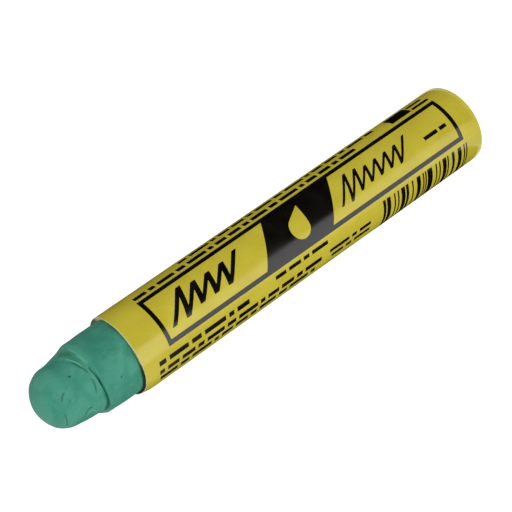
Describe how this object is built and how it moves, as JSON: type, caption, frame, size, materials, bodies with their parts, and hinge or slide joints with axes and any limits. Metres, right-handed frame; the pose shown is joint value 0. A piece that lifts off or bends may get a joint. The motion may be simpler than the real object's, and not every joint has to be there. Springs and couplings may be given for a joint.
{
  "type": "solid paint marker",
  "caption": "Stick of solid paint with a rounded nose, in a rolled paper sleeve with a printed label, for marking metal, wood and concrete.",
  "frame": {"origin": "centre of the sleeve's back end, on the plane that the marker stands on", "axes": "+Z along the stick towards its nose; the middle of the printed panel faces -Y"},
  "size_m": [0.0176, 0.0175, 0.1198],
  "materials": {
    "dried_paint": "dried skin of solid paint, dull with a faint waxy sheen",
    "kraft_paper": "raw brown paper",
    "label_paper": "yellow print on coated paper, soft gloss",
    "black_ink": "black ink film, soft gloss"
  },
  "bodies": {
    "root": {"paint_stick": "dried_paint", "paper_tube": "kraft_paper", "printed_label": "label_paper", "label_print": "black_ink"}
  },
  "joints": []
}
